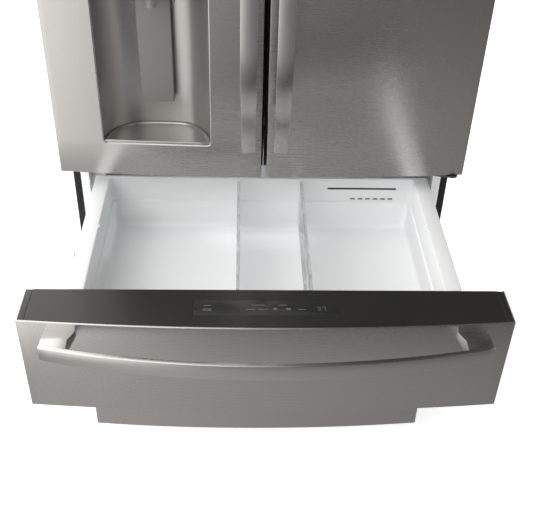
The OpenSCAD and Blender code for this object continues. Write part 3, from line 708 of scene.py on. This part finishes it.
def strap_shape(length, bow):
    """A bowed strap on two cast feet, along X, its straight edge on top at z = 0."""
    half = length / 2
    belly, end, edge, ease = STRAP["belly"], STRAP["end"], STRAP["edge"], STRAP["ease"]
    radius = (half ** 2 + bow ** 2) / (2 * bow)
    edge_r = (half ** 2 + belly ** 2) / (2 * belly)
    centre = radius - STRAP["reach"] - bow
    shape = Shape()
    rings = []
    stations = [(-half, ease), (-half + 0.5, 0.5), (-half + ease, 0)]
    stations += [(-half + ease + (length - 2 * ease) * k / STRAP_STEPS, 0) for k in range(1, STRAP_STEPS)]
    stations += [(half - ease, 0), (half - 0.5, 0.5), (half, ease)]
    for x, i in stations:
        outer = centre - math.sqrt(radius ** 2 - x ** 2)
        inner = centre - math.sqrt((radius - STRAP["thick"]) ** 2 - x ** 2)
        bottom = -STRAP["wide"] + edge_r - math.sqrt(edge_r ** 2 - x ** 2)
        short = max(end - (half - abs(x)), 0)
        bottom += end - math.sqrt(end ** 2 - short ** 2)
        rings.append([(x, y, z) for y, z in round_rect(outer + i, inner - i, bottom + i, -i, edge, 3)])
    shape.loft(rings)
    middle = radius - STRAP["thick"] / 2
    for side in (-1, 1):
        rings = []
        for y, a, b, top, bottom in FOOT:
            x0, x1 = (-half + a, -half + b) if side < 0 else (half - b, half - a)
            ring = [(x, y, z) for x, z in round_rect(x0, x1, bottom, top, edge, 3)]
            if y == FOOT[-1][0]:
                ring = [(x, centre - math.sqrt(middle ** 2 - x ** 2), z) for x, y, z in ring]
            rings.append(ring)
        shape.loft(rings)
    return shape


def make_handles():
    """Two straps across the drawers and two upright ones on the doors."""
    for name, node, body, nose in (("drawer_strap", "drawer_handle", "middle_drawer", DRAWER_NOSE),
                                   ("freezer_strap", "freezer_handle", "freezer_drawer", DOOR_NOSE)):
        low, high = box_mm(node)
        shape = strap_shape(high[0] - low[0], STRAP_BOW)
        shape.verts = [(x, y + nose + BOW, high[2] + z) for x, y, z in shape.verts]
        piece(name, shape, body, "stainless", (node,), "handle_across", sharp=25)
    for side, name, node, body in ((-1, "left_door_strap", "left_door_handle", "left_door"),
                                   (1, "right_door_strap", "right_door_handle", "right_door")):
        low, high = box_mm(node)
        edge = high[0] if side < 0 else low[0]
        shape = strap_shape(high[2] - low[2], STRAP_BOW * UPRIGHT_SHARE)
        middle = (high[2] + low[2]) / 2
        shape.verts = [(edge - side * z, y + DOOR_NOSE + BOW, middle + side * x) for x, y, z in shape.verts]
        # The upright straps take the lighter steel, a painted highlight
        piece(name, shape, body, "stainless", (node,), "handle_upright_painted_highlight", sharp=25)


# -------------------- drawer top panel and display

# Thickness of a printed mark, and the bars of each figure
INK = 0.25
SEGMENTS = {"3": "abgcd", "7": "abc"}
# Half the display window's width, and its edges' distances from the panel's rear edge
WINDOW = {"half": 137.0, "front": 72.0, "rear": 29.0}
# Marks of the drawer's display: place across, place from its middle line, width and depth
MARKS = (
    (-118, 4, 14, 1.6), (-119, -6, 16, 1.6), (-119, -9, 16, 1.2), (-30, 6, 26, 1.5), (20, 6, 16, 1.5),
    (-40, -6, 17, 1.3), (-16, -6, 17, 1.3), (11, -6, 7, 4.5), (35, -6, 8, 4.5), (56, -6, 15, 1.3),
)


def digit(shape, char, x, y, z):
    """One seven-segment figure, lying flat, its foot towards -Y."""
    w, h, t, gap = 6.0, 11.0, 1.3, 0.2
    bars = {
        "a": (0, h - t, w, h), "b": (w - t, h / 2, w, h), "c": (w - t, 0, w, h / 2),
        "d": (0, 0, w, t), "g": (0, (h - t) / 2, w, (h + t) / 2),
    }
    for key in SEGMENTS[char]:
        a, b, c, d = bars[key]
        shape.box((x + a + gap, y + b + gap, z), (x + c - gap, y + d - gap, z + INK), 0.1)


def make_drawer_top():
    """The dark control panel along the drawer's top, its display window and generic marks."""
    _, (_, rear, top) = box_mm("drawer_top_panel")
    cap, steps, skin = 15.0, 60, 3.2
    window = (-WINDOW["half"], WINDOW["half"], rear - WINDOW["front"], rear - WINDOW["rear"])
    shape = Shape()
    edge = HALF - cap
    marks = sorted({-edge + 2 * edge * k / steps for k in range(steps + 1)} | {window[0], window[1]})
    rows = []
    for x in marks:
        front = bow_y(x, DRAWER_NOSE) + skin
        rows.append([(x, y, top) for y in (front, window[2], window[3], rear)])
    for a, b in zip(rows, rows[1:]):
        for j in range(3):
            if j == 1 and window[0] <= a[j][0] and b[j][0] <= window[1]:
                continue
            start = len(shape.verts)
            shape.verts += [a[j], b[j], b[j + 1], a[j + 1]]
            shape.faces.append((start, start + 1, start + 2, start + 3))
    piece("drawer_top_cover", shape, "middle_drawer", "charcoal_panel",
          ("drawer_top_panel",), out=(0, 0, 1), solid=5.0, bevel=0.7)
    ends = Shape()
    for side in (-1, 1):
        x0, x1 = sorted((side * (edge + 0.15), side * (HALF - 2.4)))
        ends.box((x0, bow_y(max(x0, x1), DRAWER_NOSE) + skin, top - 6), (x1, rear, top - 0.8), 0.8)
    piece("drawer_top_ends", ends, "middle_drawer", "charcoal_panel")
    glass = Shape()
    gap, z = 0.4, top - 0.5
    glass.box((window[0] + gap, window[2] + gap, top - 3), (window[1] - gap, window[3] - gap, z), 0.4, 1.5)
    piece("drawer_display", glass, "middle_drawer", "display_glass", look="window")
    lit = Shape()
    middle = (window[2] + window[3]) / 2
    for x, y, w, d in MARKS:
        lit.box((x, middle + y, z), (x + w, middle + y + d, z + INK), 0.1)
    digit(lit, "3", 92, middle - 8, z)
    digit(lit, "7", 102, middle - 8, z)
    piece("display_marks", lit, "middle_drawer", "grey_plastic", look="mark")


# -------------------- pan and dividers

# The pan's side ledges, its end walls, how far its body stands in, and the height of its step
PAN = {"ledge": 34.0, "front": 12.0, "back": 8.0, "body": 30.0, "corner": 14.0, "step": 61.0}
# The dark strip and row of dark dashes on its rear wall, painted shade for a slot and a row of vents: places
# across, and distances below the ledges
PAN_SLOT = {"left": 155, "right": 318, "low": 28.3, "high": 24.0}
PAN_DASH = {"count": 6, "left": 211, "wide": 11, "pitch": 18, "low": 56.0, "high": 52.3}


def make_pan():
    """The open drawer's pan: rolled ledges, a stepped wall and a coved floor."""
    (x0, y0, z0), (x1, y1, z1) = box_mm("drawer_pan")
    ledge, front, back = PAN["ledge"], PAN["front"], PAN["back"]
    step = z1 - PAN["step"]
    shape = Shape()

    def body(z, i=0.0):
        """Outline of the pan's outer wall, i further in."""
        side = PAN["body"] + i
        return (x0 + side, x1 - side, y0 + i, y1 - i, PAN["corner"] - 2 * i, z)

    def ring(i, z, r):
        """i is how far in from the ledge's outer edge, as a share of the ledge and the end walls."""
        return (x0 + i * ledge, x1 - i * ledge, y0 + i * front, y1 - i * back, r, z)

    def inner(d, z, r):
        """Outline of the inner wall, d further in."""
        return (x0 + ledge + d, x1 - ledge - d, y0 + front + d, y1 - back - d, r, z)

    shape.stack([
        body(step), body(z1 - 4), (x0 + 3, x1 - 3, y0, y1, 3, z1 - 4),
        (x0 + 2.6, x1 - 2.6, y0, y1, 3, z1 - 9), (x0, x1, y0, y1, 4, z1 - 9),
        ring(0, z1 - 1.6, 4), ring(0.015, z1 - 0.5, 4), ring(0.05, z1, 4), ring(0.93, z1, 6),
        ring(0.97, z1 - 0.4, 7), inner(0, z1 - 1.6, 8), inner(0.6, step + 1, 9), inner(0.9, step, 9),
    ], n=6, looped=True)
    for side in (-1, 1):
        a, b = sorted((side * (x1 - ledge - 3), side * (x1 - ledge + 9)))
        shape.box((a, (y0 + y1) / 2 + 12, z1 - 7), (b, (y0 + y1) / 2 + 26, z1 - 0.4), 1.6, 3)
    piece("pan_ledges", shape, "middle_drawer", "liner_plastic", ("drawer_pan",), sharp=50)
    well = Shape().stack([
        body(z0, 1), body(z0 + 3), body(step), inner(0.9, step, 9), inner(1.6, step - 1, 10),
        inner(4.2, step - 2, 12), inner(4.8, step - 3.5, 12), inner(6.0, z0 + 16, 14),
        inner(7.0, z0 + 9.5, 15), inner(9.5, z0 + 6, 17), inner(14, z0 + 4.2, 20), inner(20, z0 + 4, 24),
    ], n=6)
    pan = piece("pan_well", well, "middle_drawer", "liner_plastic", sharp=50)
    # Empty and white, it would show in the doors brighter than a filled drawer does
    pan.visible_glossy = False
    wall = y1 - back - 1.1
    # The slot and vents are not cut: a black strip and dark grey dashes on the wall are painted shade for
    # their openings
    slot = Shape().box((PAN_SLOT["left"], wall, z1 - PAN_SLOT["low"]),
                       (PAN_SLOT["right"], wall + 2, z1 - PAN_SLOT["high"]), 0.3)
    piece("pan_slot_shade", slot, "middle_drawer", "black_plastic")
    vent_shade_dashes = Shape()
    for k in range(PAN_DASH["count"]):
        left = PAN_DASH["left"] + k * PAN_DASH["pitch"]
        vent_shade_dashes.box((left, wall - 1, z1 - PAN_DASH["low"]),
                   (left + PAN_DASH["wide"], wall + 1, z1 - PAN_DASH["high"]), 0.3)
    piece("pan_vent_shade", vent_shade_dashes, "middle_drawer", "dark_grey_plastic")


def make_dividers():
    """Two clear sheets with a rolled top edge, end posts and stiffening ribs."""
    sheet, rib, ribs = 1.3, 2.2, 5
    for side, node in (("left", "divider_left"), ("right", "divider_right")):
        (x0, y0, z0), (x1, y1, z1) = box_mm(node)
        middle = (x0 + x1) / 2
        shape = Shape()
        shape.box((middle - sheet, y0 + 8.5, z0 + 3), (middle + sheet, y1 - 8.5, z1 - 3), 0.6)
        shape.box((x0, y0 + 7, z1 - 6), (x1, y1 - 7, z1), 1.6)
        for y in (y0 + 7, y1 - 10):
            shape.box((x0 + 0.6, y, z0 + 20), (x1 - 0.6, y + 3, z1 - 3), 0.9)
        for k in range(1, ribs + 1):
            y = y0 + (y1 - y0) * k / (ribs + 1)
            shape.box((middle - rib, y - 1.2, z0 + 6), (middle + rib, y + 1.2, z1 - 5), 0.8)
        piece(side + "_divider", shape, "pan_divider_" + side, "clear_plastic", (node,))


# -------------------- dispenser

HOUSING_L, HOUSING_H = box_mm("dispenser_housing")
# The recess: its middle, foot, top and half width, the centre of its plan and its back's distance from there
RECESS_X = (HOUSING_L[0] + HOUSING_H[0]) / 2
RECESS_FOOT = HOUSING_L[2] + RECESS_UP
RECESS_TOP = HOUSING_H[2] - RECESS_IN
RECESS_R = (HOUSING_H[0] - HOUSING_L[0]) / 2 - RECESS_IN
RECESS_Y = DOOR_NOSE - 2
RECESS_BACK = HOUSING_H[1] - 3 - RECESS_Y
# Sections of the tray from the outside in: share of its plan, height above the recess's foot
TRAY = (
    (1.0, 0.5), (1.0, 6.0), (0.992, 7.2), (0.975, 7.6), (0.955, 7.0), (0.935, 4.6), (0.90, 3.2), (0.80, 2.4),
    (0.5, 1.8), (0.1, 1.6),
)


def recess_wall(t, grow=0.0):
    """Point of the recess's plan at angle t, from the right edge over the flat back to the left edge."""
    power = 14
    s = max(math.sin(t), 0.02)
    r = ((RECESS_R + grow) ** -power + ((RECESS_BACK + grow) / s) ** -power) ** (-1 / power)
    return RECESS_X + r * math.cos(t), RECESS_Y + r * math.sin(t)


def make_recess():
    """The recess as one smooth well with a round-sided plan."""
    steps, margin = 60, 0.02
    shape = Shape()
    rings = []
    for z in (RECESS_FOOT, RECESS_FOOT + 60, RECESS_FOOT + 175, RECESS_TOP - 60, RECESS_TOP):
        ring = []
        for k in range(steps + 1):
            px, py = recess_wall(math.pi * (margin + (1 - 2 * margin) * k / steps))
            ring.append((px, max(py, bow_y(px, DOOR_NOSE) + 1.5), z))
        rings.append(ring)
    shape.loft(rings, closed=False, caps=False)
    # Its foot and its top are flat sheets
    for index in (0, -1):
        start = len(shape.verts)
        shape.verts += rings[index]
        shape.faces.append(tuple(range(start, start + len(rings[index]))))
    piece("recess_well", shape, "left_door", "grey_plastic",
          ("dispenser_housing",), out=(0, -1, 0), solid=2.0, sharp=60)


def make_spout():
    """The housing over the paddle, its nozzle and the paddle's two ears."""
    x, z, back = RECESS_X, RECESS_TOP, HOUSING_H[1]
    spout = Shape()
    spout.box((x - 44, RECESS_Y + 30, z - 34), (x + 44, back - 5, z - 0.5), 5.0, 12.0)
    nozzle = [(7, -50), (10, -56), (11, -55), (11.4, -50), (12.5, -38), (16, -33)]
    spout.lathe(nozzle, (x, RECESS_Y + 44, z))
    for side in (-1, 1):
        a, b = sorted((x + side * 41, x + side * 45.5))
        spout.box((a, back - 31, z - 61), (b, back - 13, z - 32), 1.5)
    piece("spout", spout, "left_door", "dark_grey_plastic")


def make_rim():
    """The bright rounded lip round the recess's opening."""
    lip, depth, lap = 2.6, 6.0, 0.4
    middle = (RECESS_FOOT + RECESS_TOP) / 2
    turns = [math.radians(angle) for angle in range(0, 91, 18)]
    profile = [(lip * math.sin(t), lip * (1 - math.cos(t))) for t in turns]
    profile += [(lip, depth), (-lap, depth), (-lap, 0.6)]
    left, right = RECESS_X - RECESS_R, RECESS_X + RECESS_R
    rings = []
    for px, pz in round_rect(left, right, RECESS_FOOT, RECESS_TOP, HOLE_CORNER, 6):
        centre = Vector((px, bow_y(px, DOOR_NOSE) + 0.1, pz))
        aside = abs(px - RECESS_X)
        inward = Vector((RECESS_X - px, 0, middle - pz))
        if aside > RECESS_R - 3:
            inward = Vector((math.copysign(1, inward.x), 0, 0))
        if aside < RECESS_R - 10.5:
            inward = Vector((0, 0, math.copysign(1, inward.z)))
        inward.normalize()
        rings.append([centre + inward * u + Vector((0, v, 0)) for u, v in profile])
    rim = Shape().loft(rings, looped=True)
    piece("recess_rim", rim, "left_door", "stainless", look="handle_across", sharp=50)


def make_tray():
    """The dished drip tray, its front edge following the door's bow."""
    steps, front_steps, margin, inset = 48, 20, 0.03, 3.2
    plan = []
    for k in range(steps + 1):
        px, py = recess_wall(math.pi * (margin + (1 - 2 * margin) * k / steps), -1.0)
        plan.append((px, max(py, bow_y(px, DOOR_NOSE) + inset)))
    left, right = plan[-1][0], plan[0][0]
    for k in range(1, front_steps):
        px = left + (right - left) * k / front_steps
        plan.append((px, bow_y(px, DOOR_NOSE) + inset))
    x, y = RECESS_X, RECESS_Y + 48
    rings = []
    for share, height in TRAY:
        z = RECESS_FOOT + height
        rings.append([(x + (px - x) * share, y + (py - y) * share, z) for px, py in plan])
    tray = Shape().loft(rings)
    piece("drip_tray", tray, "left_door", "grey_plastic", ("dispenser_tray",), sharp=60)


def make_paddle():
    """The hanging paddle and its pivot rod."""
    (x0, y0, z0), (x1, y1, z1) = box_mm("dispenser_paddle")
    rod_end, rod_r, ease, drop = 8.5, 3.0, 1.2, 6.0
    long = x1 - x0
    paddle = Shape()
    paddle.box((x0 + rod_end, y0, z0), (x1 - rod_end, y1, z1), 2.2, 3.4)
    rod = [(rod_r / 2, 0), (rod_r, ease), (rod_r, long - ease), (rod_r / 2, long)]
    paddle.lathe(rod, (x0, (y0 + y1) / 2, z1 - drop), "x", 24)
    piece("paddle_plate", paddle, "paddle", "dark_grey_plastic", ("dispenser_paddle",))


def make_display():
    """The dispenser's dark panel with round corners and generic marks."""
    (x0, _, z0), (x1, _, z1) = box_mm("dispenser_display")
    steps, r = 24, HOLE_CORNER
    shape = Shape()
    rows = []
    for k in range(steps + 1):
        x = x0 + (x1 - x0) * k / steps
        d = min(x - x0, x1 - x, r)
        lift = r - math.sqrt(max(r ** 2 - (r - d) ** 2, 0))
        y = bow_y(x, DOOR_NOSE) + 0.4
        rows.append([(x, y, z0 + lift), (x, y, z1 - lift)])
    shape.loft(rows, closed=False, caps=False)
    piece("dispenser_glass", shape, "left_door", "display_glass",
          ("dispenser_display",), out=(0, -1, 0), solid=6.0)
    marks = Shape()
    for row in range(2):
        for k in range(5):
            x = x0 + 26 + k * 40
            y = bow_y(x, DOOR_NOSE)
            z = z0 + 24 + row * 34
            marks.box((x, y + 0.05, z), (x + 20, y + 1.2, z + 2), 0.2)
            marks.box((x + 5, y + 0.05, z + 6), (x + 15, y + 1.2, z + 14), 0.2)
    piece("dispenser_marks", marks, "left_door", "grey_plastic", look="mark")


# -------------------- seals

# Section of a bellows seal: distance in from its outer edge, distance behind its front lip
BELLOWS = (
    (1.4, 0.0), (12.6, 0.0), (13.4, 0.7), (13.2, 2.0), (10.8, 3.6), (12.4, 5.4), (14.0, 8.4), (14.0, 10.6),
    (13.2, 11.4), (9.0, 11.4), (8.4, 10.7), (5.6, 10.7), (5.0, 11.4), (0.8, 11.4), (0.0, 10.6), (0.0, 8.4),
    (1.6, 5.4), (3.2, 3.6), (0.8, 2.0), (0.6, 0.7),
)


def seal_ring(shape, x0, x1, z0, z1, y):
    """A bellows seal swept round a rectangle, its front lip at y."""
    rings = []
    for inward, behind in BELLOWS:
        plan = round_rect(x0 + inward, x1 - inward, z0 + inward, z1 - inward, 3, 3)
        rings.append([(px, y + behind, pz) for px, pz in plan])
    return shape.loft(rings, looped=True)


def make_seals():
    """Bellows seals on the doors and drawers, and the soft fins between the two doors."""
    case_top = box_mm("cabinet_shell")[1][2]
    in_from_gap, above_foot, below_top, seal_depth, fin_depth = 2, 6, 20, 12, 8
    for side, name in ((-1, "left_door"), (1, "right_door")):
        low, high = box_mm(name + "_seal")
        outer = low[0] if side < 0 else high[0]
        x0, x1 = sorted((outer, side * (DOOR_L[0] + in_from_gap)))
        shape = Shape()
        seal_ring(shape, x0, x1, DOOR_L[2] + above_foot, case_top - below_top, CASE_Y - seal_depth)
        x0, x1 = sorted((side * 0.9, side * (DOOR_L[0] - 0.1)))
        shape.box((x0, low[1], low[2] + 0.5), (x1, low[1] + fin_depth, high[2] - 0.5), 1.2)
        piece(name + "_gasket", shape, name, "seal_black", (name + "_seal",), sharp=50)
    for name, body in (("drawer_seal", "middle_drawer"), ("freezer_seal", "freezer_drawer")):
        low, high = box_mm(name)
        shape = seal_ring(Shape(), low[0], high[0], low[2], high[2], low[1])
        piece(name + "_bellows", shape, body, "seal_grey", (name,), sharp=50)


# -------------------- cabinet

# Width of the case's front flange
FLANGE = 17.0
# Profile of a domed screw head: radius and height
SCREW = ((1.2, 1.9), (3.4, 1.4), (4.3, 0.3), (4.3, -1.5))
# Heights of the screws down the back's sides and places of those along its top
SIDE_SCREWS = (300, 560, 820, 1080, 1340, 1610)
TOP_SCREWS = (-300, -100, 100, 300)


def make_cabinet():
    """The painted wrap with rounded top corners, its front flange, pale cross rails and rear screws."""
    (x0, y0, z0), (x1, y1, z1) = box_mm("cabinet_shell")
    radius = 5.0
    shape = Shape()
    path = [(x0, z0)]
    for t in range(0, 91, 15):
        t = math.radians(t)
        path.append((x0 + radius - radius * math.cos(t), z1 - radius + radius * math.sin(t)))
    path += [(-x, z) for x, z in reversed(path)]
    rings = []
    for y, i in ((y0 + 0.05, 1.2), (y0 + 0.35, 0.35), (y0 + 1.2, 0), (y1 - 1.0, 0), (y1, 0.6)):
        rings.append([(min(max(x, x0 + i), x1 - i), y, min(z, z1 - i)) for x, z in path])
    shape.loft(rings, closed=False, caps=False)
    piece("cabinet_wrap", shape, "case", "case_paint", ("cabinet_shell",),
          out=(0, 0, 1), solid=SHEET, bevel=0.2, sharp=60)
    liners = [box_mm(node) for node in ("freezer_liner", "drawer_liner", "fresh_food_liner")]
    feet = [low[2] for low, high in liners]
    tops = [high[2] for low, high in liners]
    left, right, rear, ease = x0 + FLANGE, x1 - FLANGE, y0 + SHEET, 0.3
    front = Shape()
    for side in (-1, 1):
        a, b = sorted((side * (x1 - 0.8), side * right))
        front.box((a, y0, z0), (b, rear, z1 - 1), ease)
    front.box((left, y0, tops[2]), (right, rear, z1 - 1), ease)
    front.box((left, y0, z0), (right, rear, feet[0]), ease)
    piece("front_flange", front, "case", "case_paint")
    rails = Shape()
    for below, above in zip(tops, feet[1:]):
        rails.box((left, y0, below), (right, rear, above), ease)
    piece("cross_rails", rails, "case", "liner_plastic")
    back = box_mm("back_panel")[1][1]
    places = [(x, z0 + z) for z in SIDE_SCREWS for x in (x0 + 16, x1 - 16)]
    places += [(x, z1 - 22) for x in TOP_SCREWS]
    screws = Shape()
    for x, z in places:
        screws.lathe(SCREW, (x, back, z), "y", 16)
    piece("rear_screws", screws, "case", "zinc")


# A light bar: half its length, its width, and its lower and upper face below the liner's top
LAMP = {"half": 150, "wide": 26, "low": 6.0, "high": 2.8}
# Each lamp's liner and how far it stands behind the liner's front edge
LAMPS = (
    ("fresh", "fresh_food_liner", 120), ("drawer", "drawer_liner", 60), ("freezer", "freezer_liner", 60),
)


def make_lamps():
    """Light bars set into the fresh-food ceiling and the drawer and freezer ceilings."""
    for name, node, depth in LAMPS:
        low, high = box_mm(node)
        y = low[1] + depth
        bar = Shape().box((-LAMP["half"], y, high[2] - LAMP["low"]),
                          (LAMP["half"], y + LAMP["wide"], high[2] - LAMP["high"]), 1.0, 6)
        piece(name + "_lamp", bar, "case", "fan_white", look="lamp")


make_materials()
make_camera()
make_studio()
make_fronts()
make_handles()
make_drawer_top()
make_pan()
make_dividers()
make_recess()
make_spout()
make_rim()
make_tray()
make_paddle()
make_display()
make_seals()
make_cabinet()
make_lamps()
dress_nodes()
